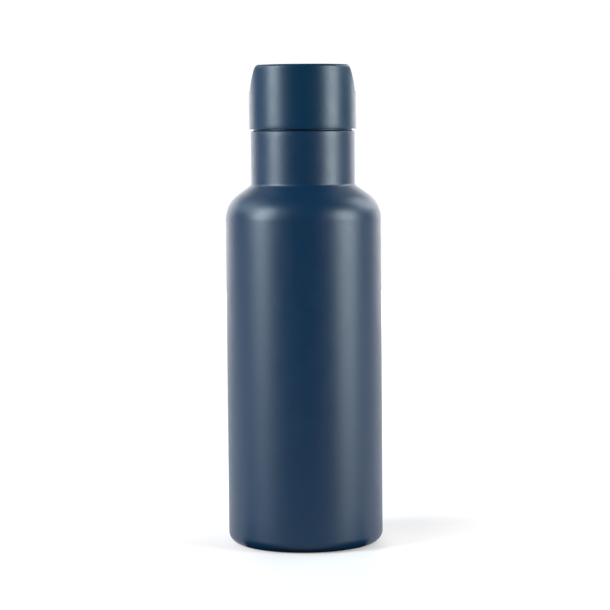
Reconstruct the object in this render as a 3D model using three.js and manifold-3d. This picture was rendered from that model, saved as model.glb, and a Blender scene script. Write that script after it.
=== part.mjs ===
// Double-walled insulated water bottle with a screw lid.
// Millimetres, +Z up, origin at the centre of the foot ring. The lid's two grip flats face +X and -X.
// Sheet-steel body: outer shell, inner vessel and their bases, with the evacuated space between them.
// Lid: outer shell, threaded liner with a hollow plug, insulation core and a flat gasket.
import * as THREE from "three";
import { mergeVertices } from "three/addons/utils/BufferGeometryUtils.js";
import Module from "manifold-3d";

const wasm = await Module();
wasm.setup();

// ---- Driving dimensions -------------------------------------------------
const SEGMENTS = 36; // facets round every turned piece
const BODY_R = 36.5; // outer radius of the straight body
const NECK_R = 24.4; // outer radius of the coated neck
const LID_R = 25.1; // outer radius of the lid
const TOTAL_H = 224.8; // foot ring to lid top
const OUTER_WALL = 0.5; // outer shell sheet
const INNER_WALL = 0.45; // inner vessel sheet

const FOOT_EDGE_R = 5.2; // rounding from the body wall to the foot ring
const FOOT_IN_R = 29.9; // inner radius of the foot ring
const SHOULDER_Z = 153.0; // where the body wall starts to curve in
const SHOULDER_R = 14.0; // radius of the shoulder curve
const SHOULDER_DEG = 53.8; // angle the curve turns before the cone
const NECK_CORNER_Z = 168.94; // where the cone would meet the neck
const NECK_FILLET = 2.0; // hollow rounding there
const NECK_TOP_Z = 194.1; // ledge under the lid skirt
const NECK_TOP_EDGE = 1.2; // rounding of that ledge's outer edge
const STEP_R = 23.1; // coated step on the ledge, which closes the groove under the lid
const STEP_Z = 195.4; // top of that step, just inside the lid skirt
const MOUTH_R = 21.2; // outer radius of the bare steel mouth
const LIP_Z = 208.1; // top of the mouth

const GAP = 3.5; // outer surface of the outer shell's curve to the inner vessel's
const VESSEL_R = BODY_R - GAP; // outer radius of the inner vessel, 33.0
const VESSEL_NECK_R = 20.6; // outer radius of the inner vessel's neck
const VESSEL_FLOOR_Z = 10.0; // underside of the vessel's base
const VESSEL_JOIN_Z = 16.5; // seam between the vessel and its base

const LID_BOTTOM_Z = 195.1; // lower edge of the lid skirt
const LID_TOP_EDGE = 1.4; // rounding of the lid's top edge
const SKIRT_IN_R = 23.8; // inner radius of the lid skirt
const CORE_CAVITY_R = 20.9; // cavity for the insulation core
const LID_ROOF = 2.2; // thickness of the lid's top
const FLAT_LOW = [24.6, 212.6]; // lower end of a grip flat: radius, height
const FLAT_MID = [23.72, 217.7]; // the flat bows out very slightly
const FLAT_TOP = [22.65, 221.9]; // where the flat starts to round over

const THREAD_PITCH = 4.0; // ridge to ridge
const THREAD_STARTS = 2;
const THREAD_LEAD = THREAD_PITCH * THREAD_STARTS; // rise per turn
const MOUTH_CREST_R = 22.1; // crest of the mouth's thread
const LINER_ROOT_R = 22.5; // wall of the liner between its ridges
const LINER_CREST_R = 21.6; // crest of the liner's thread
const THREAD_Z = 196.5; // lower end of the mouth's thread at angle 0

const NAVY = 0x1d3a57;
const STEEL = 0xb9bcc0;

// ---- Helpers --------------------------------------------------------------
const rad = (d) => (d * Math.PI) / 180;

// Points of a circular arc in the (radius, height) plane, both ends included.
function arc(cr, cz, r, from, to, steps) {
  const out = [];
  for (let i = 0; i <= steps; i++) {
    const a = rad(from + ((to - from) * i) / steps);
    out.push([cr + r * Math.cos(a), cz + r * Math.sin(a)]);
  }
  return out;
}

// A closed mesh as a manifold-3d solid, turned right side out.
function solid(geometry) {
  let g = geometry.clone();
  g.deleteAttribute("normal");
  g.deleteAttribute("uv");
  g = mergeVertices(g, 1e-4);
  const src = g.index.array;
  let tri = [];
  for (let i = 0; i < src.length; i += 3) {
    const [a, b, c] = [src[i], src[i + 1], src[i + 2]];
    if (a !== b && b !== c && a !== c) tri.push(a, b, c);
  }
  const make = (t) =>
    new wasm.Manifold(
      new wasm.Mesh({
        numProp: 3,
        vertProperties: new Float32Array(g.attributes.position.array),
        triVerts: new Uint32Array(t),
      }),
    );
  const made = make(tri);
  if (made.volume() > 0) return made;
  const turned = [];
  for (let i = 0; i < tri.length; i += 3)
    turned.push(tri[i], tri[i + 2], tri[i + 1]);
  return make(turned);
}

// The solid back as a BufferGeometry with flat shading.
function geometryOf(manifold) {
  const m = manifold.getMesh();
  const n = m.numProp;
  const v = new Float32Array((m.vertProperties.length / n) * 3);
  for (let i = 0; i < v.length / 3; i++)
    v.set(m.vertProperties.subarray(i * n, i * n + 3), i * 3);
  const g = new THREE.BufferGeometry();
  g.setAttribute("position", new THREE.BufferAttribute(v, 3));
  g.setIndex(new THREE.BufferAttribute(new Uint32Array(m.triVerts), 1));
  const flat = g.toNonIndexed();
  flat.computeVertexNormals();
  return flat;
}

// A turned piece from its closed (radius, height) profile, axis along +Z.
function turned(profile, segments = SEGMENTS) {
  const points = profile.map(([r, z]) => new THREE.Vector2(Math.max(r, 0), z));
  points.push(points[0].clone());
  const g = new THREE.LatheGeometry(points, segments);
  g.rotateX(Math.PI / 2);
  return solid(g);
}

// A thread ridge: a straight extrusion of its section, bent onto the helix and sunk into the wall at both ends.
// side +1 stands outwards from the wall, -1 inwards.
function ridge({ wallR, crestR, baseHalf, crestHalf, z0, angle0, turns, side }) {
  const height = Math.abs(crestR - wallR);
  const sunk = 0.35;
  const DIP = 0.14; // how far the ends dip under the wall's surface
  const section = new THREE.Shape();
  section.moveTo(-sunk, -baseHalf);
  section.lineTo(0, -baseHalf);
  section.lineTo(height, -crestHalf);
  section.lineTo(height, crestHalf);
  section.lineTo(0, baseHalf);
  section.lineTo(-sunk, baseHalf);
  section.closePath();
  const steps = Math.round((turns * 360) / 12);
  const g = new THREE.ExtrudeGeometry(section, {
    depth: 1,
    steps,
    bevelEnabled: false,
  });
  const p = g.attributes.position;
  const fade = 0.1;
  for (let i = 0; i < p.count; i++) {
    const t = p.getZ(i);
    const a = angle0 + t * turns * 2 * Math.PI;
    const e = Math.min(t, 1 - t) / fade;
    const k = e >= 1 ? 1 : e * e * (3 - 2 * e);
    const x = p.getX(i);
    const out = x < 0 ? x : -DIP + (x + DIP) * k;
    const half = p.getY(i) * (0.55 + 0.45 * k);
    const r = wallR + side * out;
    p.setXYZ(
      i,
      r * Math.cos(a),
      r * Math.sin(a),
      z0 + t * turns * THREAD_LEAD + half,
    );
  }
  return solid(g);
}

const bottle = new THREE.Group();
bottle.name = "bottle";
const lidCore = new THREE.Group();
lidCore.name = "lid_core";
const lid = new THREE.Group();
lid.name = "lid";

function piece(group, name, manifold, color, roughness, metalness) {
  const mesh = new THREE.Mesh(
    geometryOf(manifold),
    new THREE.MeshStandardMaterial({ color, roughness, metalness }),
  );
  mesh.name = name;
  group.add(mesh);
  return mesh;
}

// ---- Outer shell: foot ring, body, shoulder, neck and threaded mouth ------
const sA = SHOULDER_DEG;
const sc = [BODY_R - SHOULDER_R, SHOULDER_Z];
const tangent = NECK_FILLET * Math.tan(rad(sA / 2));
const fz = NECK_CORNER_Z + tangent; // height of the neck fillet's centre
const fr = NECK_R + NECK_FILLET;
const outerSide = [
  [FOOT_IN_R, 0.0],
  ...arc(BODY_R - FOOT_EDGE_R, FOOT_EDGE_R, FOOT_EDGE_R, -90, 0, 4),
  ...arc(sc[0], sc[1], SHOULDER_R, 0, sA, 5),
  ...arc(fr, fz, NECK_FILLET, 180 + sA, 180, 2),
  ...arc(
    NECK_R - NECK_TOP_EDGE,
    NECK_TOP_Z - NECK_TOP_EDGE,
    NECK_TOP_EDGE,
    0,
    90,
    2,
  ),
  [STEP_R, NECK_TOP_Z],
  [STEP_R, STEP_Z - 0.2],
  [STEP_R - 0.2, STEP_Z],
  [MOUTH_R, STEP_Z],
  [MOUTH_R, LIP_Z - 0.2],
  [MOUTH_R - 0.2, LIP_Z],
  [MOUTH_R - OUTER_WALL, LIP_Z],
];
const innerSide = [
  [MOUTH_R - OUTER_WALL, STEP_Z - OUTER_WALL],
  [STEP_R - OUTER_WALL, STEP_Z - OUTER_WALL],
  [STEP_R - OUTER_WALL, NECK_TOP_Z - OUTER_WALL],
  ...arc(
    NECK_R - NECK_TOP_EDGE,
    NECK_TOP_Z - NECK_TOP_EDGE,
    NECK_TOP_EDGE - OUTER_WALL,
    90,
    0,
    1,
  ),
  ...arc(fr, fz, NECK_FILLET + OUTER_WALL, 180, 180 + sA, 2),
  ...arc(sc[0], sc[1], SHOULDER_R - OUTER_WALL, sA, 0, 4),
  ...arc(
    BODY_R - FOOT_EDGE_R,
    FOOT_EDGE_R,
    FOOT_EDGE_R - OUTER_WALL,
    0,
    -90,
    3,
  ),
  [FOOT_IN_R + 0.1, OUTER_WALL],
  [FOOT_IN_R + 0.1, 4.6],
  [FOOT_IN_R - 0.4, 4.6],
  [FOOT_IN_R - 0.4, 0.3],
];
let outerShell = turned([...outerSide, ...innerSide]);
for (let k = 0; k < THREAD_STARTS; k++)
  outerShell = outerShell.add(
    ridge({
      wallR: MOUTH_R,
      crestR: MOUTH_CREST_R,
      baseHalf: 1.35,
      crestHalf: 0.65,
      z0: THREAD_Z,
      angle0: (k * 2 * Math.PI) / THREAD_STARTS,
      turns: 1.15,
      side: 1,
    }),
  );
piece(bottle, "outer_shell", outerShell, NAVY, 0.42, 0.0);

// ---- Outer base: pressed plate with the evacuation port, its seal, and the cover under it
piece(
  bottle,
  "outer_base",
  turned([
    [1.2, 6.6],
    [1.2, 7.1],
    [5.2, 7.1],
    [7.2, 5.1],
    [29.3, 5.1],
    [29.3, 2.6],
    [28.9, 2.6],
    [28.9, 4.6],
    [7.0, 4.6],
    [5.0, 6.6],
  ]),
  STEEL,
  0.35,
  1.0,
);
piece(
  bottle,
  "port_seal_bead",
  turned(
    [
      [0, 5.2],
      [2.2, 5.4],
      [3.3, 6.0],
      [3.3, 6.5],
      [1.1, 6.5],
      [1.1, 7.6],
      [0, 7.8],
    ],
    18,
  ),
  0x3b4a3c,
  0.15,
  0.0,
);
piece(
  bottle,
  "base_cover",
  turned([
    [0, 1.8],
    [20.0, 1.8],
    [21.5, 1.3],
    [27.9, 1.3],
    [28.7, 2.1],
    [28.7, 4.2],
    [28.3, 4.2],
    [28.3, 2.3],
    [27.7, 1.7],
    [21.7, 1.7],
    [20.2, 2.2],
    [0, 2.2],
  ]),
  STEEL,
  0.3,
  1.0,
);

// ---- Inner vessel and its base --------------------------------------------
const vArc = SHOULDER_R - GAP; // the vessel's shoulder keeps the same centre
const vEnd = [
  sc[0] + vArc * Math.cos(rad(sA)),
  sc[1] + vArc * Math.sin(rad(sA)),
];
const vSlope = Math.tan(rad(sA)); // fall in radius per rise on the cone
const vCornerZ = vEnd[1] + (vEnd[0] - VESSEL_NECK_R) / vSlope;
const V_FILLET = 3.0;
const vfz = vCornerZ + V_FILLET * Math.tan(rad(sA / 2));
const vfr = VESSEL_NECK_R + V_FILLET;
piece(
  bottle,
  "inner_vessel",
  turned([
    [VESSEL_R, VESSEL_JOIN_Z],
    ...arc(sc[0], sc[1], vArc, 0, sA, 4),
    ...arc(vfr, vfz, V_FILLET, 180 + sA, 180, 2),
    [VESSEL_NECK_R, LIP_Z],
    [VESSEL_NECK_R - 0.25, LIP_Z],
    [VESSEL_NECK_R - INNER_WALL, LIP_Z - 0.2],
    ...arc(vfr, vfz, V_FILLET + INNER_WALL, 180, 180 + sA, 2),
    ...arc(sc[0], sc[1], vArc - INNER_WALL, sA, 0, 4),
    [VESSEL_R - INNER_WALL, VESSEL_JOIN_Z],
  ]),
  STEEL,
  0.25,
  1.0,
);
const VB_R = 6.0; // corner radius of the vessel's base
piece(
  bottle,
  "inner_base",
  turned([
    [0, VESSEL_FLOOR_Z],
    ...arc(VESSEL_R - VB_R, VESSEL_FLOOR_Z + VB_R, VB_R, -90, 0, 4),
    [VESSEL_R, VESSEL_JOIN_Z - 0.1],
    [VESSEL_R - INNER_WALL, VESSEL_JOIN_Z - 0.1],
    ...arc(
      VESSEL_R - VB_R,
      VESSEL_FLOOR_Z + VB_R,
      VB_R - INNER_WALL,
      0,
      -90,
      4,
    ),
    [0, VESSEL_FLOOR_Z + INNER_WALL],
  ]),
  STEEL,
  0.25,
  1.0,
);

// ---- In the evacuated space: heat-reflecting foil and the getter -----------
piece(
  bottle,
  "copper_foil_wrap",
  turned([
    [VESSEL_R + 0.15, 19.0],
    [VESSEL_R + 0.35, 19.0],
    [VESSEL_R + 0.35, 152.0],
    [VESSEL_R + 0.15, 152.0],
  ]),
  0xb87344,
  0.3,
  1.0,
);
piece(
  bottle,
  "copper_foil_disc",
  turned([
    [0, 9.55],
    [26.5, 9.55],
    [26.5, 9.75],
    [0, 9.75],
  ]),
  0xb87344,
  0.3,
  1.0,
);
const GETTER_X = 14.0;
const getterClip = turned(
  [
    [0, 5.3],
    [5.0, 5.3],
    [5.0, 7.4],
    [4.6, 7.4],
    [4.6, 5.7],
    [0, 5.7],
  ],
  20,
).translate([GETTER_X, 0, 0]);
piece(bottle, "getter_cup", getterClip, STEEL, 0.4, 1.0);
const getterPellet = turned(
  [
    [0, 5.9],
    [4.3, 5.9],
    [4.3, 7.5],
    [3.9, 7.8],
    [0, 7.8],
  ],
  20,
).translate([GETTER_X, 0, 0]);
piece(bottle, "getter_pellet", getterPellet, 0x5a5c60, 0.8, 0.2);

// ---- Lid shell: skirt, core cavity and the two grip flats -------------------
const shellBlank = turned([
  [SKIRT_IN_R, LID_BOTTOM_Z],
  [LID_R - 0.3, LID_BOTTOM_Z],
  [LID_R, LID_BOTTOM_Z + 0.3],
  ...arc(LID_R - LID_TOP_EDGE, TOTAL_H - LID_TOP_EDGE, LID_TOP_EDGE, 0, 90, 4),
  [0, TOTAL_H],
  [0, TOTAL_H - LID_ROOF],
  [CORE_CAVITY_R, TOTAL_H - LID_ROOF],
  [CORE_CAVITY_R, 211.5],
  [SKIRT_IN_R, 211.5],
]);
// Everything that lies inside the flats, as an outline extruded along Y.
const outline = new THREE.Shape();
const half = [
  [LID_R + 2, LID_BOTTOM_Z - 2],
  [LID_R + 2, FLAT_LOW[1]],
  [FLAT_LOW[0], FLAT_LOW[1]],
  [(FLAT_LOW[0] + FLAT_MID[0]) / 2 + 0.03, (FLAT_LOW[1] + FLAT_MID[1]) / 2],
  FLAT_MID,
  [(FLAT_TOP[0] + FLAT_MID[0]) / 2 + 0.03, (FLAT_TOP[1] + FLAT_MID[1]) / 2],
  FLAT_TOP,
  [22.32, 222.85],
  [21.82, 223.8],
  [21.18, 224.4],
  [20.24, TOTAL_H],
  [20.24, TOTAL_H + 1],
];
outline.moveTo(half[0][0], half[0][1]);
for (const [x, z] of half.slice(1)) outline.lineTo(x, z);
for (const [x, z] of [...half].reverse()) outline.lineTo(-x, z);
outline.closePath();
const flats = new THREE.ExtrudeGeometry(outline, {
  depth: 2 * LID_R + 8,
  bevelEnabled: false,
});
flats.translate(0, 0, -(LID_R + 4));
flats.rotateX(Math.PI / 2);
piece(lid, "lid_shell", shellBlank.intersect(solid(flats)), NAVY, 0.45, 0.0);

// ---- Lid liner: threaded sleeve, seat for the gasket and hollow plug ---------
let liner = turned([
  [0, 198.3],
  [18.4, 198.3],
  [19.6, 199.5],
  [19.6, 209.7],
  [LINER_ROOT_R, 209.7],
  [LINER_ROOT_R, 195.9],
  [LINER_ROOT_R + 0.3, 195.6],
  [23.6, 195.6],
  [23.6, 211.2],
  [18.2, 211.2],
  [18.2, 199.9],
  [0, 199.9],
]);
const linerZ0 = 197.3;
const linerAngle =
  ((linerZ0 - THREAD_Z - THREAD_PITCH / 2) / THREAD_LEAD) * 2 * Math.PI;
for (let k = 0; k < THREAD_STARTS; k++)
  liner = liner.add(
    ridge({
      wallR: LINER_ROOT_R,
      crestR: LINER_CREST_R,
      baseHalf: 1.2,
      crestHalf: 0.6,
      z0: linerZ0,
      angle0: linerAngle + (k * 2 * Math.PI) / THREAD_STARTS,
      turns: 1.0,
      side: -1,
    }),
  );
piece(lid, "lid_liner", liner, 0x23262a, 0.5, 0.0);

// ---- Lid core: insulation and gasket, which rise with the lid ----------------
piece(
  lidCore,
  "insulation_core",
  turned([
    [0, 200.3],
    [17.9, 200.3],
    [17.9, 211.6],
    [20.6, 211.6],
    [20.6, 222.3],
    [0, 222.3],
  ]),
  0xf1f1ee,
  0.9,
  0.0,
);
piece(
  lidCore,
  "mouth_gasket",
  turned([
    [19.9, 208.2],
    [22.0, 208.2],
    [22.2, 208.4],
    [22.2, 209.3],
    [22.0, 209.5],
    [19.9, 209.5],
  ]),
  0xe4e6e6,
  0.55,
  0.0,
);

const root = new THREE.Group();
root.name = "water_bottle";
root.add(bottle, lidCore, lid);
export default root;
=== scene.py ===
"""Looks for a double-walled steel water bottle with a screw lid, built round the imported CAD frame."""
import math

import bmesh
import bpy
from mathutils import Matrix, Vector


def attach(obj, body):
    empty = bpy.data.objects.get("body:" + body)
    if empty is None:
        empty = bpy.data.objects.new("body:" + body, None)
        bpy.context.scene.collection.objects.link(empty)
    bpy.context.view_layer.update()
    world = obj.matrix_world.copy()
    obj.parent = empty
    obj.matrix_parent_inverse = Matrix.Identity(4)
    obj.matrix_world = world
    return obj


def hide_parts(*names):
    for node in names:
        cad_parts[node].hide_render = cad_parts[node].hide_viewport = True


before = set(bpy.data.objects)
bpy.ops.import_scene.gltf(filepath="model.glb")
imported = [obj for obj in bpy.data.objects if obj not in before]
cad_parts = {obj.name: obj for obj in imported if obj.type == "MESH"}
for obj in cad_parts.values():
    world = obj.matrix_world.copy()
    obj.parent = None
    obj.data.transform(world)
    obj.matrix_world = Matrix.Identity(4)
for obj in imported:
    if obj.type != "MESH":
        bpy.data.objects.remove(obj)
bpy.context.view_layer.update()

MM = 0.001
rad = math.radians

# ---------------------------------------------------------------- dimensions, mm
BODY_R = 36.5
NECK_R = 24.4
LID_R = 25.1
TOTAL_H = 224.8
FOOT_EDGE_R = 5.2
FOOT_IN_R = 29.9
SHOULDER_Z = 153.0
SHOULDER_R = 14.0
SHOULDER_DEG = 53.8
NECK_CORNER_Z = 168.94
NECK_FILLET = 2.0
NECK_TOP_Z = 194.1
STEP_R = 23.1
STEP_Z = 195.4
MOUTH_R = 21.2
LIP_Z = 208.1
VESSEL_R = 33.0
VESSEL_NECK_R = 20.6
LID_BOTTOM_Z = 195.1
LID_EDGE = 1.4
SKIRT_IN_R = 23.8
CORE_CAVITY_R = 20.9
THREAD_LEAD = 8.0
THREAD_Z = 196.5


# ---------------------------------------------------------------- mesh helpers
def arc(cr, cz, r, a0, a1, n):
    """Points of an arc in the (radius, height) plane, as corners that take no further rounding."""
    return [
        (cr + r * math.cos(rad(a0 + (a1 - a0) * k / n)), cz + r * math.sin(rad(a0 + (a1 - a0) * k / n)), 0.0)
        for k in range(n + 1)
    ]


def rows(r, z0, z1, step):
    n = max(1, int(round(abs(z1 - z0) / step)))
    return [(r, z0 + (z1 - z0) * k / n, 0.0) for k in range(n + 1)]


def rounded(path, closed, n=5):
    """Each corner (radius, height, fillet) becomes an arc of that fillet."""
    out = []
    count = len(path)
    for i, (r, z, f) in enumerate(path):
        if f <= 0 or (not closed and i in (0, count - 1)):
            out.append((r, z))
            continue
        p = Vector((r, z))
        a = Vector(path[i - 1][:2]) - p
        b = Vector(path[(i + 1) % count][:2]) - p
        la, lb = a.length, b.length
        a.normalize()
        b.normalize()
        ang = a.angle(b)
        t = min(f / math.tan(ang / 2), 0.46 * la, 0.46 * lb)
        rr = t * math.tan(ang / 2)
        c = p + (a + b).normalized() * (rr / math.sin(ang / 2))
        s, e = p + a * t - c, p + b * t - c
        t0, t1 = math.atan2(s.y, s.x), math.atan2(e.y, e.x)
        d = (t1 - t0 + math.pi) % (2 * math.pi) - math.pi
        for k in range(n + 1):
            q = t0 + d * k / n
            out.append((c.x + rr * math.cos(q), c.y + rr * math.sin(q)))
    return out


def finish_mesh(name, verts, faces, mats, index=None, sharp=32.0):
    me = bpy.data.meshes.new(name)
    me.from_pydata([(x * MM, y * MM, z * MM) for x, y, z in verts], [], faces)
    bm = bmesh.new()
    bm.from_mesh(me)
    bmesh.ops.remove_doubles(bm, verts=bm.verts, dist=1e-7)
    bmesh.ops.dissolve_degenerate(bm, edges=bm.edges, dist=1e-8)
    bmesh.ops.recalc_face_normals(bm, faces=bm.faces)
    bm.to_mesh(me)
    bm.free()
    for m in mats:
        me.materials.append(m)
    if index:
        for p in me.polygons:
            p.material_index = index(p.center / MM, p.normal)
    me.polygons.foreach_set("use_smooth", [True] * len(me.polygons))
    me.set_sharp_from_angle(angle=rad(sharp))
    ob = bpy.data.objects.new(name, me)
    bpy.context.scene.collection.objects.link(ob)
    return ob


def turned(name, path, mats, cols=192, closed=True, warp=None, index=None, centre=(0.0, 0.0), fillet_steps=5, sharp=32.0):
    """A turned piece from a profile; warp(angle, radius, height) may change the radius."""
    prof = rounded(path, closed, fillet_steps)
    verts, ids = [], []
    for r, z in prof:
        if r < 1e-6:
            ids.append([len(verts)] * cols)
            verts.append((centre[0], centre[1], z))
            continue
        ring = []
        for j in range(cols):
            a = 2 * math.pi * j / cols
            rr = warp(a, r, z) if warp else r
            ring.append(len(verts))
            verts.append((centre[0] + rr * math.cos(a), centre[1] + rr * math.sin(a), z))
        ids.append(ring)
    faces = []
    last = len(prof) if closed else len(prof) - 1
    for i in range(last):
        a, b = ids[i], ids[(i + 1) % len(prof)]
        for j in range(cols):
            k = (j + 1) % cols
            f = [a[j], a[k], b[k], b[j]]
            f = [v for n, v in enumerate(f) if v != f[n - 1]]
            if len(f) > 2:
                faces.append(f)
    return finish_mesh(name, verts, faces, mats, index, sharp)


def smooth(x):
    x = min(1.0, max(0.0, x))
    return x * x * (3 - 2 * x)


def thread(height, base_half, crest_half, z0, angle0, turns, fade, starts=2):
    """Radial rise of a multi-start right-hand thread at (angle, height)."""

    def rise(a, z):
        best = 0.0
        for k in range(starts):
            first = angle0 + 2 * math.pi * k / starts
            for m in range(-2, 4):
                u = (a + 2 * math.pi * m - first) / (2 * math.pi * turns)
                if u < 0 or u > 1:
                    continue
                e = smooth(min(u, 1 - u) / fade)
                half = 0.55 + 0.45 * e
                dz = abs(z - (z0 + u * turns * THREAD_LEAD))
                t = (base_half * half - dz) / ((base_half - crest_half) * half)
                best = max(best, smooth(t) * height * e)
        return best

    return rise


# ---------------------------------------------------------------- materials
def material(name):
    m = bpy.data.materials.new(name)
    m.use_nodes = True
    nt = m.node_tree
    nt.nodes.clear()
    out = nt.nodes.new("ShaderNodeOutputMaterial")
    bs = nt.nodes.new("ShaderNodeBsdfPrincipled")
    nt.links.new(bs.outputs[0], out.inputs[0])
    return m, nt, bs


def node(nt, kind, **values):
    n = nt.nodes.new(kind)
    for k, v in values.items():
        if k.startswith("in_"):
            n.inputs[k[3:].replace("_", " ")].default_value = v
        else:
            setattr(n, k, v)
    return n


def coords(nt, scale=(1, 1, 1)):
    tc = node(nt, "ShaderNodeTexCoord")
    mp = node(nt, "ShaderNodeMapping")
    mp.inputs["Scale"].default_value = scale
    nt.links.new(tc.outputs["Object"], mp.inputs["Vector"])
    return mp.outputs["Vector"]


def noise(nt, vec, scale, detail=3.0, rough=0.5, distortion=0.0):
    n = node(nt, "ShaderNodeTexNoise")
    n.inputs["Scale"].default_value = scale
    n.inputs["Detail"].default_value = detail
    n.inputs["Roughness"].default_value = rough
    n.inputs["Distortion"].default_value = distortion
    nt.links.new(vec, n.inputs["Vector"])
    return n.outputs["Fac"]


def spread(nt, fac, lo, hi, from_lo=0.3, from_hi=0.7):
    mr = node(nt, "ShaderNodeMapRange")
    mr.inputs["From Min"].default_value = from_lo
    mr.inputs["From Max"].default_value = from_hi
    mr.inputs["To Min"].default_value = lo
    mr.inputs["To Max"].default_value = hi
    nt.links.new(fac, mr.inputs["Value"])
    return mr.outputs["Result"]


def ramp(nt, fac, stops):
    r = node(nt, "ShaderNodeValToRGB")
    el = r.color_ramp.elements
    el[0].position, el[0].color = stops[0][0], (*stops[0][1], 1)
    el[1].position, el[1].color = stops[-1][0], (*stops[-1][1], 1)
    for p, c in stops[1:-1]:
        e = el.new(p)
        e.color = (*c, 1)
    nt.links.new(fac, r.inputs["Fac"])
    return r.outputs["Color"]


def bump(nt, bs, layers):
    """layers: (height output, strength, distance in m), stacked."""
    prev = None
    for fac, strength, dist in layers:
        b = node(nt, "ShaderNodeBump")
        b.inputs["Strength"].default_value = strength
        b.inputs["Distance"].default_value = dist
        nt.links.new(fac, b.inputs["Height"])
        if prev:
            nt.links.new(prev, b.inputs["Normal"])
        prev = b.outputs["Normal"]
    nt.links.new(prev, bs.inputs["Normal"])


def mixed(c, k):
    return tuple(min(1.0, v * k) for v in c)


NAVY = (0.0006, 0.0205, 0.0545)
LID_NAVY = (0.0004, 0.0225, 0.0545)


def coat_material(name, colour, rough, grain, peel, ior=1.5):
    """Satin coat: faint mottling in the colour, fine powder grain and a soft orange peel."""
    m, nt, bs = material(name)
    v = coords(nt)
    cloud = noise(nt, v, 55.0, 4.0, 0.6)
    col = ramp(nt, cloud, [(0.25, mixed(colour, 0.93)), (0.5, colour), (0.75, mixed(colour, 1.08))])
    nt.links.new(col, bs.inputs["Base Color"])
    fine = noise(nt, v, 4200.0, 2.0, 0.6)
    mid = noise(nt, v, 900.0, 3.0, 0.5)
    soft = noise(nt, v, 160.0, 2.0, 0.5)
    nt.links.new(spread(nt, soft, rough - 0.02, rough + 0.02), bs.inputs["Roughness"])
    bump(nt, bs, [(soft, peel * 0.5, 0.00006), (mid, peel, 0.00003), (fine, grain, 0.000012)])
    bs.inputs["Metallic"].default_value = 0.0
    bs.inputs["IOR"].default_value = ior
    return m


def steel_material(name, colour, rough, brushed=True, axis_scale=9000.0):
    m, nt, bs = material(name)
    v = coords(nt, (14.0, 14.0, axis_scale))
    lines = noise(nt, v, 1.0, 3.0, 0.65)
    v2 = coords(nt)
    cloud = noise(nt, v2, 70.0, 4.0, 0.6)
    grain = noise(nt, v2, 2600.0, 2.0, 0.6)
    col = ramp(nt, cloud, [(0.3, mixed(colour, 0.94)), (0.7, mixed(colour, 1.03))])
    nt.links.new(col, bs.inputs["Base Color"])
    nt.links.new(spread(nt, lines if brushed else cloud, rough - 0.05, rough + 0.07), bs.inputs["Roughness"])
    bump(nt, bs, [(lines, 0.30 if brushed else 0.06, 0.000010), (grain, 0.06, 0.000006)])
    bs.inputs["Metallic"].default_value = 1.0
    bs.inputs["Anisotropic"].default_value = 0.35 if brushed else 0.0
    return m


def disc_steel_material(name, colour, rough):
    """Satin spun steel: the grain runs in rings round the axis."""
    m, nt, bs = material(name)
    tc = node(nt, "ShaderNodeTexCoord")
    sep = node(nt, "ShaderNodeSeparateXYZ")
    nt.links.new(tc.outputs["Object"], sep.inputs[0])
    flat = node(nt, "ShaderNodeCombineXYZ")
    nt.links.new(sep.outputs["X"], flat.inputs["X"])
    nt.links.new(sep.outputs["Y"], flat.inputs["Y"])
    length = node(nt, "ShaderNodeVectorMath", operation="LENGTH")
    nt.links.new(flat.outputs[0], length.inputs[0])
    ring = node(nt, "ShaderNodeCombineXYZ")
    nt.links.new(length.outputs["Value"], ring.inputs["X"])
    rings = noise(nt, ring.outputs[0], 7000.0, 3.0, 0.7)
    cloud = noise(nt, tc.outputs["Object"], 90.0, 4.0, 0.6)
    col = ramp(nt, cloud, [(0.3, mixed(colour, 0.93)), (0.7, mixed(colour, 1.04))])
    nt.links.new(col, bs.inputs["Base Color"])
    nt.links.new(spread(nt, rings, rough - 0.06, rough + 0.08), bs.inputs["Roughness"])
    bump(nt, bs, [(rings, 0.25, 0.000012)])
    bs.inputs["Metallic"].default_value = 1.0
    return m


def plastic_material(name, colour, rough, grain=0.12, scale=2400.0):
    m, nt, bs = material(name)
    v = coords(nt)
    cloud = noise(nt, v, 45.0, 3.0, 0.55)
    col = ramp(nt, cloud, [(0.3, mixed(colour, 0.92)), (0.7, mixed(colour, 1.08))])
    nt.links.new(col, bs.inputs["Base Color"])
    fine = noise(nt, v, scale, 3.0, 0.6)
    nt.links.new(spread(nt, cloud, rough - 0.03, rough + 0.04), bs.inputs["Roughness"])
    bump(nt, bs, [(fine, grain, 0.00002)])
    return m


def silicone_material(name):
    m, nt, bs = material(name)
    v = coords(nt)
    cloud = noise(nt, v, 120.0, 3.0, 0.5)
    col = ramp(nt, cloud, [(0.3, (0.70, 0.72, 0.72)), (0.7, (0.80, 0.82, 0.82))])
    nt.links.new(col, bs.inputs["Base Color"])
    fine = noise(nt, v, 1800.0, 2.0, 0.5)
    nt.links.new(spread(nt, cloud, 0.42, 0.52), bs.inputs["Roughness"])
    bs.inputs["Subsurface Weight"].default_value = 0.35
    bs.inputs["Subsurface Radius"].default_value = (0.0012, 0.0012, 0.0012)
    bs.inputs["Subsurface Scale"].default_value = 1.0
    bump(nt, bs, [(fine, 0.08, 0.00002)])
    return m


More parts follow.
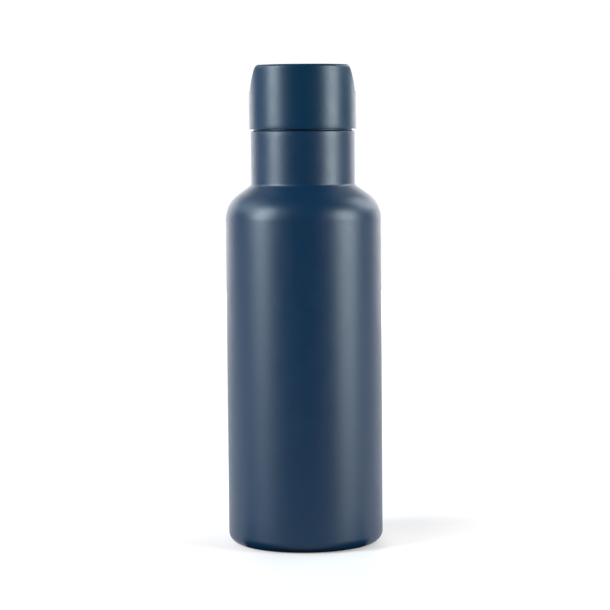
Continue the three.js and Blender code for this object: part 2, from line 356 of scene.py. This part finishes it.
def foil_material(name, colour, rough):
    m, nt, bs = material(name)
    v = coords(nt)
    crinkle = node(nt, "ShaderNodeTexVoronoi", feature="DISTANCE_TO_EDGE")
    crinkle.inputs["Scale"].default_value = 160.0
    nt.links.new(v, crinkle.inputs["Vector"])
    folds = noise(nt, v, 90.0, 4.0, 0.6, 0.6)
    cloud = noise(nt, v, 30.0, 3.0, 0.5)
    col = ramp(nt, cloud, [(0.3, mixed(colour, 0.85)), (0.7, mixed(colour, 1.08))])
    nt.links.new(col, bs.inputs["Base Color"])
    nt.links.new(spread(nt, folds, rough - 0.06, rough + 0.1), bs.inputs["Roughness"])
    bump(nt, bs, [(folds, 0.35, 0.0001), (crinkle.outputs["Distance"], 0.12, 0.0002)])
    bs.inputs["Metallic"].default_value = 1.0
    return m


def foam_material(name):
    m, nt, bs = material(name)
    v = coords(nt)
    cell = node(nt, "ShaderNodeTexVoronoi", feature="F1")
    cell.inputs["Scale"].default_value = 1500.0
    nt.links.new(v, cell.inputs["Vector"])
    cloud = noise(nt, v, 80.0, 3.0, 0.5)
    col = ramp(nt, cloud, [(0.3, (0.80, 0.80, 0.76)), (0.7, (0.90, 0.90, 0.87))])
    nt.links.new(col, bs.inputs["Base Color"])
    nt.links.new(spread(nt, cloud, 0.85, 0.95), bs.inputs["Roughness"])
    bump(nt, bs, [(cell.outputs["Distance"], 0.6, 0.0002)])
    return m


def powder_material(name):
    m, nt, bs = material(name)
    v = coords(nt)
    grains = node(nt, "ShaderNodeTexVoronoi", feature="F1")
    grains.inputs["Scale"].default_value = 5200.0
    nt.links.new(v, grains.inputs["Vector"])
    cloud = noise(nt, v, 700.0, 4.0, 0.6)
    col = ramp(nt, cloud, [(0.3, (0.07, 0.072, 0.076)), (0.7, (0.15, 0.155, 0.16))])
    nt.links.new(col, bs.inputs["Base Color"])
    nt.links.new(spread(nt, cloud, 0.55, 0.75), bs.inputs["Roughness"])
    bs.inputs["Metallic"].default_value = 0.7
    bump(nt, bs, [(grains.outputs["Distance"], 0.5, 0.0001)])
    return m


def glass_bead_material(name):
    m, nt, bs = material(name)
    v = coords(nt)
    swirl = noise(nt, v, 600.0, 3.0, 0.5, 1.0)
    col = ramp(nt, swirl, [(0.3, (0.05, 0.10, 0.06)), (0.7, (0.10, 0.17, 0.11))])
    nt.links.new(col, bs.inputs["Base Color"])
    nt.links.new(spread(nt, swirl, 0.08, 0.16), bs.inputs["Roughness"])
    bump(nt, bs, [(swirl, 0.1, 0.00005)])
    return m


COAT = coat_material("navy_powder_coat", NAVY, 0.40, 0.18, 0.10)
LID_SKIN = coat_material("navy_lid_plastic", LID_NAVY, 0.37, 0.10, 0.06, 1.45)
MOUTH_STEEL = steel_material("mouth_steel", (0.40, 0.41, 0.42), 0.36)
VESSEL_STEEL = steel_material("vessel_steel", (0.60, 0.61, 0.62), 0.24, brushed=True, axis_scale=5000.0)
BASE_STEEL = disc_steel_material("base_steel", (0.55, 0.56, 0.57), 0.32)
PRESSED_STEEL = steel_material("pressed_steel", (0.50, 0.51, 0.52), 0.36, brushed=False)
LINER = plastic_material("liner_plastic", (0.020, 0.022, 0.026), 0.46)
SILICONE = silicone_material("gasket_silicone")
FOAM = foam_material("core_foam")
COPPER = foil_material("copper_foil", (0.78, 0.38, 0.22), 0.26)
GETTER = powder_material("getter_powder")
BEAD = glass_bead_material("sealing_glass")

# ---------------------------------------------------------------- outer shell
sc = (BODY_R - SHOULDER_R, SHOULDER_Z)
fz = NECK_CORNER_Z + NECK_FILLET * math.tan(rad(SHOULDER_DEG / 2))
fr = NECK_R + NECK_FILLET
mouth_rise = thread(0.86, 1.32, 0.62, THREAD_Z, 0.0, 1.15, 0.1)

outer_path = (
    [(FOOT_IN_R, 0.0, 0.3)]
    + arc(BODY_R - FOOT_EDGE_R, FOOT_EDGE_R, FOOT_EDGE_R, -90, 0, 22)
    + rows(BODY_R, FOOT_EDGE_R + 12, SHOULDER_Z - 12, 12.0)
    + arc(sc[0], sc[1], SHOULDER_R, 0, SHOULDER_DEG, 24)
    + arc(fr, fz, NECK_FILLET, 180 + SHOULDER_DEG, 180, 12)
    + rows(NECK_R, fz + 4, NECK_TOP_Z - 3.0, 5.0)
    + [(NECK_R, NECK_TOP_Z, 0.35), (STEP_R - 0.02, NECK_TOP_Z, 0.93), (STEP_R - 0.02, STEP_Z - 0.02, 0.28), (MOUTH_R, STEP_Z - 0.02, 0.2)]
    + rows(MOUTH_R, STEP_Z + 0.3, LIP_Z - 0.9, 0.16)
    + [(MOUTH_R, LIP_Z, 0.38), (VESSEL_NECK_R - 0.45, LIP_Z, 0.38), (VESSEL_NECK_R - 0.45, LIP_Z - 0.85, 0.05)]
    + [(MOUTH_R - 0.45, LIP_Z - 0.95, 0.05), (MOUTH_R - 0.45, STEP_Z - 0.52, 0.2), (STEP_R - 0.5, STEP_Z - 0.52, 0.2), (STEP_R - 0.5, NECK_TOP_Z - 0.6, 0.2), (NECK_R - 0.5, NECK_TOP_Z - 0.6, 0.5)]
    + arc(fr, fz, NECK_FILLET + 0.5, 180, 180 + SHOULDER_DEG, 6)
    + arc(sc[0], sc[1], SHOULDER_R - 0.5, SHOULDER_DEG, 0, 10)
    + arc(BODY_R - FOOT_EDGE_R, FOOT_EDGE_R, FOOT_EDGE_R - 0.5, 0, -90, 8)
    + [(FOOT_IN_R + 0.12, 0.5, 0.1), (FOOT_IN_R + 0.12, 4.55, 0.0), (FOOT_IN_R - 0.38, 4.55, 0.0), (FOOT_IN_R - 0.38, 0.22, 0.15)]
)


def outer_warp(a, r, z):
    if abs(r - MOUTH_R) < 1e-6 and NECK_TOP_Z + 0.5 < z < LIP_Z - 0.5:
        return r + mouth_rise(a, z)
    return r


def outer_index(c, n):
    """Coat outside up to the step's top, bare steel on the mouth and inside."""
    r = math.hypot(c.x, c.y)
    outward = (n.x * c.x + n.y * c.y) / max(r, 1e-6)
    if r < MOUTH_R - 0.1 and c.z > NECK_TOP_Z - 0.02:
        return 1
    step_top = n.z > 0.5 and c.z < STEP_Z + 0.05 and r > MOUTH_R + 0.1
    if r < MOUTH_R + 1.1 and c.z > STEP_Z - 0.04 and not step_top:
        return 1
    if c.z < 5.0 and r < FOOT_IN_R + 0.15:
        return 1
    if outward < -0.05 and r > MOUTH_R and c.z < STEP_Z - 0.3 and not (fz - 3 < c.z < fz + 0.5 and n.z > 0.1):
        return 1
    return 0


outer = turned("outer_shell_fine", outer_path, [COAT, MOUTH_STEEL], cols=240, warp=outer_warp, index=outer_index)
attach(outer, "bottle")
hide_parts("outer_shell")

# ---------------------------------------------------------------- bases
plate = turned(
    "outer_base_fine",
    [(1.22, 6.62, 0.1), (1.22, 7.08, 0.1), (5.2, 7.1, 0.8), (7.2, 5.1, 0.8), (29.25, 5.1, 0.45), (29.25, 2.6, 0.1), (28.9, 2.6, 0.1), (28.9, 4.6, 0.3), (7.0, 4.6, 0.8), (5.0, 6.6, 0.8)],
    [PRESSED_STEEL],
    cols=160,
)
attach(plate, "bottle")
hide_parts("outer_base")

bead = turned(
    "port_seal_bead_fine",
    [(0, 5.25, 0), (1.2, 5.32, 0.5), (2.6, 5.6, 0.5), (3.25, 6.2, 0.3), (3.1, 6.48, 0.1), (1.08, 6.48, 0.05), (1.05, 7.3, 0.3), (0.7, 7.7, 0.3), (0, 7.78, 0)],
    [BEAD],
    cols=64,
    closed=False,
)
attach(bead, "bottle")
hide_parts("port_seal_bead")

cover = turned(
    "base_cover_fine",
    [(0, 1.8, 0), (20.0, 1.8, 0.8), (21.5, 1.3, 0.8), (27.9, 1.3, 0.6), (28.65, 2.1, 0.6), (28.65, 4.15, 0.1), (28.3, 4.15, 0.1), (28.3, 2.3, 0.4), (27.7, 1.7, 0.4), (21.7, 1.7, 0.5), (20.2, 2.2, 0.5), (0, 2.2, 0)],
    [BASE_STEEL],
    cols=192,
    closed=False,
)
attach(cover, "bottle")
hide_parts("base_cover")

# ---------------------------------------------------------------- inner vessel
v_arc = SHOULDER_R - 3.5
v_end = (sc[0] + v_arc * math.cos(rad(SHOULDER_DEG)), sc[1] + v_arc * math.sin(rad(SHOULDER_DEG)))
v_corner_z = v_end[1] + (v_end[0] - VESSEL_NECK_R) / math.tan(rad(SHOULDER_DEG))
vfz = v_corner_z + 3.0 * math.tan(rad(SHOULDER_DEG / 2))
vfr = VESSEL_NECK_R + 3.0
vessel = turned(
    "inner_vessel_fine",
    [(VESSEL_R, 16.5, 0)]
    + arc(sc[0], sc[1], v_arc, 0, SHOULDER_DEG, 14)
    + arc(vfr, vfz, 3.0, 180 + SHOULDER_DEG, 180, 10)
    + [(VESSEL_NECK_R, LIP_Z - 1.05, 0.05), (VESSEL_NECK_R - 0.45, LIP_Z - 0.95, 0.05)]
    + arc(vfr, vfz, 3.45, 180, 180 + SHOULDER_DEG, 10)
    + arc(sc[0], sc[1], v_arc - 0.45, SHOULDER_DEG, 0, 14)
    + [(VESSEL_R - 0.45, 16.5, 0)],
    [VESSEL_STEEL],
    cols=200,
)
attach(vessel, "bottle")
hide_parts("inner_vessel")

vbase = turned(
    "inner_base_fine",
    [(0, 10.0, 0)]
    + arc(VESSEL_R - 6.0, 16.0, 6.0, -90, 0, 14)
    + [(VESSEL_R, 16.42, 0), (VESSEL_R - 0.45, 16.42, 0)]
    + arc(VESSEL_R - 6.0, 16.0, 5.55, 0, -90, 14)
    + [(0, 10.45, 0)],
    [BASE_STEEL],
    cols=200,
    closed=False,
)
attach(vbase, "bottle")
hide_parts("inner_base")

# ---------------------------------------------------------------- foil and getter
wrap = turned(
    "copper_foil_wrap_fine",
    [(VESSEL_R + 0.16, 19.0, 0)] + [(VESSEL_R + 0.16, 152.0, 0), (VESSEL_R + 0.33, 152.0, 0), (VESSEL_R + 0.33, 19.0, 0)],
    [COPPER],
    cols=160,
)
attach(wrap, "bottle")
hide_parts("copper_foil_wrap")
disc = turned("copper_foil_disc_fine", [(0, 9.56, 0), (26.4, 9.56, 0.05), (26.4, 9.74, 0.05), (0, 9.74, 0)], [COPPER], cols=128, closed=False)
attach(disc, "bottle")
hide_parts("copper_foil_disc")
cup = turned(
    "getter_cup_fine",
    [(0, 5.3, 0), (5.0, 5.3, 0.35), (5.0, 7.4, 0.12), (4.6, 7.4, 0.12), (4.6, 5.7, 0.25), (0, 5.7, 0)],
    [PRESSED_STEEL],
    cols=72,
    closed=False,
    centre=(14.0, 0.0),
)
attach(cup, "bottle")
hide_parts("getter_cup")
pellet = turned(
    "getter_pellet_fine",
    [(0, 5.9, 0), (4.25, 5.9, 0.2), (4.25, 7.55, 0.2), (3.9, 7.8, 0.2), (0, 7.8, 0)],
    [GETTER],
    cols=72,
    closed=False,
    centre=(14.0, 0.0),
)
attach(pellet, "bottle")
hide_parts("getter_pellet")

# ---------------------------------------------------------------- lid shell with its two grip flats
FLAT = [
    (212.6, 24.60), (214.3, 24.32), (216.2, 24.02), (218.1, 23.65), (220.0, 23.20), (221.0, 22.93),
    (221.9, 22.65), (222.7, 22.38), (223.3, 22.12), (223.8, 21.82), (224.15, 21.49), (224.4, 21.18), (224.6, 20.86), (224.73, 20.56), (224.8, 20.24),
]


def flat_x(z):
    if z <= FLAT[0][0]:
        return FLAT[0][1]
    for (z0, x0), (z1, x1) in zip(FLAT, FLAT[1:]):
        if z <= z1:
            return x0 + (x1 - x0) * (z - z0) / (z1 - z0)
    return FLAT[-1][1]


def lid_r(z):
    """Round outline of the lid at a height, before the flats."""
    if z > TOTAL_H - LID_EDGE:
        d = min(LID_EDGE, z - (TOTAL_H - LID_EDGE))
        return LID_R - LID_EDGE + math.sqrt(max(0.0, LID_EDGE * LID_EDGE - d * d))
    if z < LID_BOTTOM_Z + 0.3:
        d = LID_BOTTOM_Z + 0.3 - z
        return LID_R - 0.3 + math.sqrt(max(0.0, 0.09 - d * d))
    return LID_R


def soft_min(a, b, k=0.05):
    d = max(0.0, k - abs(a - b)) / k
    return min(a, b) - d * d * k * 0.25


def lid_mesh():
    flat_cols, edge_cols, side_cols = 22, 5, 88
    z_rows = (
        [LID_BOTTOM_Z + 0.3 - 0.3 * math.cos(rad(90 * k / 4)) for k in range(5)]
        + [197.5 + 2.5 * k for k in range(6)]
        + [211.6, 212.2] + [212.4 + 0.06 * k for k in range(8)] + [213.2, 213.8]
        + [214.6 + 0.8 * k for k in range(10)]
        + [222.3]
        + [TOTAL_H - LID_EDGE + LID_EDGE * math.sin(rad(90 * k / 14)) for k in range(15)]
    )
    verts, rings = [], []

    def ring_at(z, scale=1.0, level=None):
        R = lid_r(z)
        on = smooth((z - 212.42) / 0.36)  # the ledge below each flat has a small radius
        X = flat_x(z)
        half = math.acos(min(1.0, X / R)) if X < R else 0.0
        half = max(half, math.acos(FLAT[0][1] / LID_R))
        e = 0.35 / R  # the crease is softened over this angle
        angles = []
        for side in (0.0, math.pi):
            for k in range(flat_cols + 1):
                angles.append(side - (half - e) + 2 * (half - e) * k / flat_cols)
            for k in range(1, edge_cols):
                angles.append(side + half - e + 2 * e * k / edge_cols)
            a0, a1 = side + half + e, side + math.pi - half - e
            for k in range(side_cols + 1):
                angles.append(a0 + (a1 - a0) * k / side_cols)
            for k in range(1, edge_cols):
                angles.append(side + math.pi - half - e + 2 * e * k / edge_cols)
        ring = []
        for a in angles:
            r = R
            c = abs(math.cos(a))
            if on > 0 and c > 0.3:
                r = R + (soft_min(R, X / c) - R) * on
            r *= scale
            ring.append(len(verts))
            verts.append((r * math.cos(a), r * math.sin(a), z if level is None else level))
        return ring

    for z in z_rows:
        rings.append(ring_at(z))
    for s in (0.985, 0.95, 0.88, 0.75, 0.55, 0.3, 0.12):
        rings.append(ring_at(TOTAL_H, s))
    count = len(rings[0])
    centre_top = len(verts)
    verts.append((0, 0, TOTAL_H))

    inside = rounded(
        [
            (SKIRT_IN_R, LID_BOTTOM_Z, 0.25),
            (SKIRT_IN_R, 211.5, 0.3),
            (CORE_CAVITY_R, 211.5, 0.2),
            (CORE_CAVITY_R, TOTAL_H - 2.2, 0.5),
            (8.0, TOTAL_H - 2.2, 0.0),
        ],
        False,
    )
    inner = []
    base_angles = [math.atan2(verts[i][1], verts[i][0]) for i in rings[0]]
    for r, z in inside:
        ring = []
        for a in base_angles:
            ring.append(len(verts))
            verts.append((r * math.cos(a), r * math.sin(a), z))
        inner.append(ring)
    centre_in = len(verts)
    verts.append((0, 0, TOTAL_H - 2.2))

    faces = []
    for a, b in zip(rings, rings[1:]):
        for j in range(count):
            k = (j + 1) % count
            faces.append([a[j], a[k], b[k], b[j]])
    for j in range(count):
        faces.append([rings[-1][j], rings[-1][(j + 1) % count], centre_top])
    for a, b in zip(inner, inner[1:]):
        for j in range(count):
            k = (j + 1) % count
            faces.append([a[j], a[k], b[k], b[j]])
    for j in range(count):
        faces.append([inner[-1][j], inner[-1][(j + 1) % count], centre_in])
    for j in range(count):
        k = (j + 1) % count
        faces.append([rings[0][j], rings[0][k], inner[0][k], inner[0][j]])
    return finish_mesh("lid_shell_fine", verts, faces, [LID_SKIN], sharp=26.0)


lid_piece = lid_mesh()
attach(lid_piece, "lid")
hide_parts("lid_shell")

# ---------------------------------------------------------------- lid liner
liner_z0 = 197.3
liner_angle = (liner_z0 - THREAD_Z - 2.0) / THREAD_LEAD * 2 * math.pi
liner_rise = thread(0.88, 1.18, 0.58, liner_z0, liner_angle, 1.0, 0.1)


def liner_warp(a, r, z):
    if abs(r - 22.5) < 1e-6 and 196.4 < z < 209.3:
        return r - liner_rise(a, z)
    return r


liner = turned(
    "lid_liner_fine",
    [(0, 198.3, 0), (18.4, 198.3, 0.6), (19.6, 199.5, 0.6), (19.6, 209.7, 0.3), (22.5, 209.7, 0.3)]
    + rows(22.5, 209.2, 196.5, 0.17)
    + [(22.5, 195.62, 0.3), (23.58, 195.62, 0.2), (23.58, 211.18, 0.3), (18.22, 211.18, 0.3), (18.22, 199.9, 0.4), (0, 199.9, 0)],
    [LINER],
    cols=216,
    closed=False,
    warp=liner_warp,
)
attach(liner, "lid")
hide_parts("lid_liner")

# ---------------------------------------------------------------- core and gasket
core = turned(
    "insulation_core_fine",
    [(0, 200.35, 0), (17.85, 200.35, 0.5), (17.85, 211.65, 0.3), (20.55, 211.65, 0.5), (20.55, 222.25, 0.6), (0, 222.25, 0)],
    [FOAM],
    cols=128,
    closed=False,
)
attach(core, "lid_core")
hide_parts("insulation_core")
gasket = turned(
    "mouth_gasket_fine",
    [(19.92, 208.22, 0.2), (22.15, 208.22, 0.3), (22.15, 208.75, 0.05), (21.95, 208.85, 0.05), (22.15, 208.95, 0.05), (22.15, 209.48, 0.3), (19.92, 209.48, 0.3)],
    [SILICONE],
    cols=192,
)
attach(gasket, "lid_core")
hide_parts("mouth_gasket")

# ---------------------------------------------------------------- stage
FLOOR_ALBEDO = 0.60
FLOOR_GLOW = 0.25


def stage_material(name, colour, rough=0.6, emit=0.0, glow=(1.0, 1.0, 1.0)):
    m, nt, bs = material(name)
    bs.inputs["Base Color"].default_value = (*colour, 1)
    bs.inputs["Roughness"].default_value = rough
    bs.inputs["Specular IOR Level"].default_value = 0.0
    if emit:
        bs.inputs["Emission Color"].default_value = (*glow, 1)
        bs.inputs["Emission Strength"].default_value = emit
    return m


def plane(name, corners, mat):
    me = bpy.data.meshes.new(name)
    me.from_pydata(corners, [], [tuple(range(len(corners)))])
    me.materials.append(mat)
    ob = bpy.data.objects.new(name, me)
    bpy.context.scene.collection.objects.link(ob)
    return ob


def floor_material():
    """White cove floor with painted light: its glow is stronger towards the left, the far right and its far
    edges, which paints out cast shadows and dimmer floor there.
    """
    m = stage_material("floor_white", (FLOOR_ALBEDO,) * 3, emit=FLOOR_GLOW, glow=(1.15, 1.0, 0.95))
    nt = m.node_tree
    bs = next(n for n in nt.nodes if n.type == "BSDF_PRINCIPLED")
    tc = node(nt, "ShaderNodeTexCoord")
    sep = node(nt, "ShaderNodeSeparateXYZ")
    nt.links.new(tc.outputs["Object"], sep.inputs[0])
    total = None
    # painted light: glow ramps across the floor wash out the bottle's cast shadow on the left and cut short the
    # one on the right
    for lo, hi, gain in ((-0.008, -0.042, 0.12), (0.024, 0.040, 0.065), (0.048, 0.104, 0.14)):
        r = node(nt, "ShaderNodeMapRange", interpolation_type="SMOOTHSTEP")
        r.inputs["From Min"].default_value = lo
        r.inputs["From Max"].default_value = hi
        r.inputs["To Min"].default_value = FLOOR_GLOW if total is None else 0.0
        r.inputs["To Max"].default_value = gain + (FLOOR_GLOW if total is None else 0.0)
        nt.links.new(sep.outputs["X"], r.inputs["Value"])
        if total is None:
            total = r.outputs[0]
        else:
            add = node(nt, "ShaderNodeMath", operation="ADD")
            nt.links.new(total, add.inputs[0])
            nt.links.new(r.outputs[0], add.inputs[1])
            total = add.outputs[0]
    # painted light: more glow towards the far edges paints out the dimmer far floor
    far = node(nt, "ShaderNodeVectorMath", operation="LENGTH")
    nt.links.new(tc.outputs["Object"], far.inputs[0])
    r = node(nt, "ShaderNodeMapRange", interpolation_type="SMOOTHSTEP")
    r.inputs["From Min"].default_value = 0.95
    r.inputs["From Max"].default_value = 1.50
    r.inputs["To Min"].default_value = 0.0
    r.inputs["To Max"].default_value = 0.75
    nt.links.new(far.outputs["Value"], r.inputs["Value"])
    add = node(nt, "ShaderNodeMath", operation="ADD")
    nt.links.new(total, add.inputs[0])
    nt.links.new(r.outputs[0], add.inputs[1])
    # painted light: the glow on the strip straight behind the bottle is lifted to the level of its sides,
    # painting out the darker floor there
    painted_lift_glow = None
    for axis, lo, hi in (("Y", 0.18, 0.45), ("X", -0.045, -0.006), ("X", 0.104, 0.048)):
        r = node(nt, "ShaderNodeMapRange", interpolation_type="SMOOTHSTEP")
        r.inputs["From Min"].default_value = lo
        r.inputs["From Max"].default_value = hi
        r.inputs["To Min"].default_value = 0.0
        r.inputs["To Max"].default_value = 0.20 if painted_lift_glow is None else 1.0
        nt.links.new(sep.outputs[axis], r.inputs["Value"])
        if painted_lift_glow is None:
            painted_lift_glow = r.outputs[0]
        else:
            mul = node(nt, "ShaderNodeMath", operation="MULTIPLY")
            nt.links.new(painted_lift_glow, mul.inputs[0])
            nt.links.new(r.outputs[0], mul.inputs[1])
            painted_lift_glow = mul.outputs[0]
    both = node(nt, "ShaderNodeMath", operation="ADD")
    nt.links.new(add.outputs[0], both.inputs[0])
    nt.links.new(painted_lift_glow, both.inputs[1])
    # painted light: extra glow lightens the front part of the cast shadow beside the foot
    soft = node(nt, "ShaderNodeMath", operation="MULTIPLY")
    for k, (axis, lo, hi, top) in enumerate((("Y", 0.045, -0.016, 0.15), ("X", 0.031, 0.042, 1.0))):
        r = node(nt, "ShaderNodeMapRange", interpolation_type="SMOOTHSTEP")
        r.inputs["From Min"].default_value = lo
        r.inputs["From Max"].default_value = hi
        r.inputs["To Min"].default_value = 0.0
        r.inputs["To Max"].default_value = top
        nt.links.new(sep.outputs[axis], r.inputs["Value"])
        nt.links.new(r.outputs[0], soft.inputs[k])
    all_three = node(nt, "ShaderNodeMath", operation="ADD")
    nt.links.new(both.outputs[0], all_three.inputs[0])
    nt.links.new(soft.outputs[0], all_three.inputs[1])
    nt.links.new(all_three.outputs[0], bs.inputs["Emission Strength"])
    return m


# The strip in front only catches the contact shadow; what the bottle mirrors there is the dimmer bounce card.
FLOOR = floor_material()
SEAM_Y, FRONT_Y = -0.019, -0.165
floor = plane("floor", [(-1.6, SEAM_Y, 0), (1.6, SEAM_Y, 0), (1.6, 1.6, 0), (-1.6, 1.6, 0)], FLOOR)
apron = plane("floor_front", [(-1.6, FRONT_Y, 0), (1.6, FRONT_Y, 0), (1.6, SEAM_Y, 0), (-1.6, SEAM_Y, 0)], FLOOR)
apron.visible_glossy = False
apron.visible_diffuse = False
bounce = plane(
    "bounce_card",
    [(-0.8, -0.34, -0.003), (0.8, -0.34, -0.003), (0.8, -0.0375, -0.003), (-0.8, -0.0375, -0.003)],
    stage_material("bounce_white", (0.0, 0.0, 0.0), emit=0.50),
)
bounce.visible_camera = False
BACK_Y, BACK_W, BACK_H, BACK_EMIT = 1.6, 2.0, 1.05, 3.0
backdrop = plane(
    "backdrop",
    [(-BACK_W, BACK_Y, 0.0), (BACK_W, BACK_Y, 0.0), (BACK_W, BACK_Y, BACK_H), (-BACK_W, BACK_Y, BACK_H)],
    stage_material("backdrop_white", (0.0, 0.0, 0.0), emit=BACK_EMIT),
)
backdrop.visible_camera = False


def softbox(name, azimuth, distance, z, width, height, power, aim_z=0.15, colour=(0.87, 0.995, 1.05)):
    """azimuth is measured from the camera's side (-Y), positive towards +X."""
    a = rad(azimuth)
    pos = Vector((distance * math.sin(a), -distance * math.cos(a), z))
    li = bpy.data.lights.new(name, "AREA")
    li.shape = "RECTANGLE"
    li.size, li.size_y = width, height
    li.energy = power
    li.color = colour
    ob = bpy.data.objects.new(name, li)
    ob.location = pos
    ob.rotation_euler = (Vector((0, 0, aim_z)) - pos).to_track_quat("-Z", "Y").to_euler()
    ob.visible_camera = False
    bpy.context.scene.collection.objects.link(ob)
    return ob


softbox("softbox_left", -65.0, 1.4, 0.64, 0.61, 1.12, 36.0)
softbox("softbox_right", 66.5, 1.4, 0.43, 0.69, 0.92, 26.2)
softbox("fill_left", -119.0, 0.95, 1.0, 0.9, 0.9, 0.88 * math.pi * 0.81)
softbox("fill_right", 119.0, 0.95, 1.0, 0.9, 0.9, 0.76 * math.pi * 0.81)
softbox("edge_left", -96.0, 0.35, 0.37, 0.2, 0.2, 0.27, aim_z=0.20)
softbox("edge_right", 119.0, 0.35, 0.37, 0.2, 0.2, 0.55, aim_z=0.20)

world = bpy.data.worlds.new("studio")
bpy.context.scene.world = world
world.use_nodes = True
wn = world.node_tree
wn.nodes.clear()
w_out = wn.nodes.new("ShaderNodeOutputWorld")
w_seen = wn.nodes.new("ShaderNodeBackground")
w_seen.inputs["Color"].default_value = (1, 1, 1, 1)
w_seen.inputs["Strength"].default_value = 1.0
w_light = wn.nodes.new("ShaderNodeBackground")
w_light.inputs["Color"].default_value = (1, 1, 1, 1)
w_light.inputs["Strength"].default_value = 0.012
w_mix = wn.nodes.new("ShaderNodeMixShader")
w_path = wn.nodes.new("ShaderNodeLightPath")
wn.links.new(w_path.outputs["Is Camera Ray"], w_mix.inputs[0])
wn.links.new(w_light.outputs[0], w_mix.inputs[1])
wn.links.new(w_seen.outputs[0], w_mix.inputs[2])
wn.links.new(w_mix.outputs[0], w_out.inputs[0])

# ---------------------------------------------------------------- camera
cam_data = bpy.data.cameras.new("camera")
cam_data.sensor_width = 36.0
cam_data.lens = 127.5
cam_data.clip_start = 0.05
cam = bpy.data.objects.new("camera", cam_data)
bpy.context.scene.collection.objects.link(cam)
cam.matrix_world = (
    Matrix.Translation((0.0, -1.0166, 0.1946))
    @ Matrix.Rotation(rad(-0.024), 4, "Z")
    @ Matrix.Rotation(rad(90 - 4.633), 4, "X")
    @ Matrix.Rotation(rad(-0.478), 4, "Z")
)
bpy.context.scene.camera = cam
bpy.context.scene.view_settings.view_transform = "Standard"
bpy.context.scene.view_settings.look = "None"
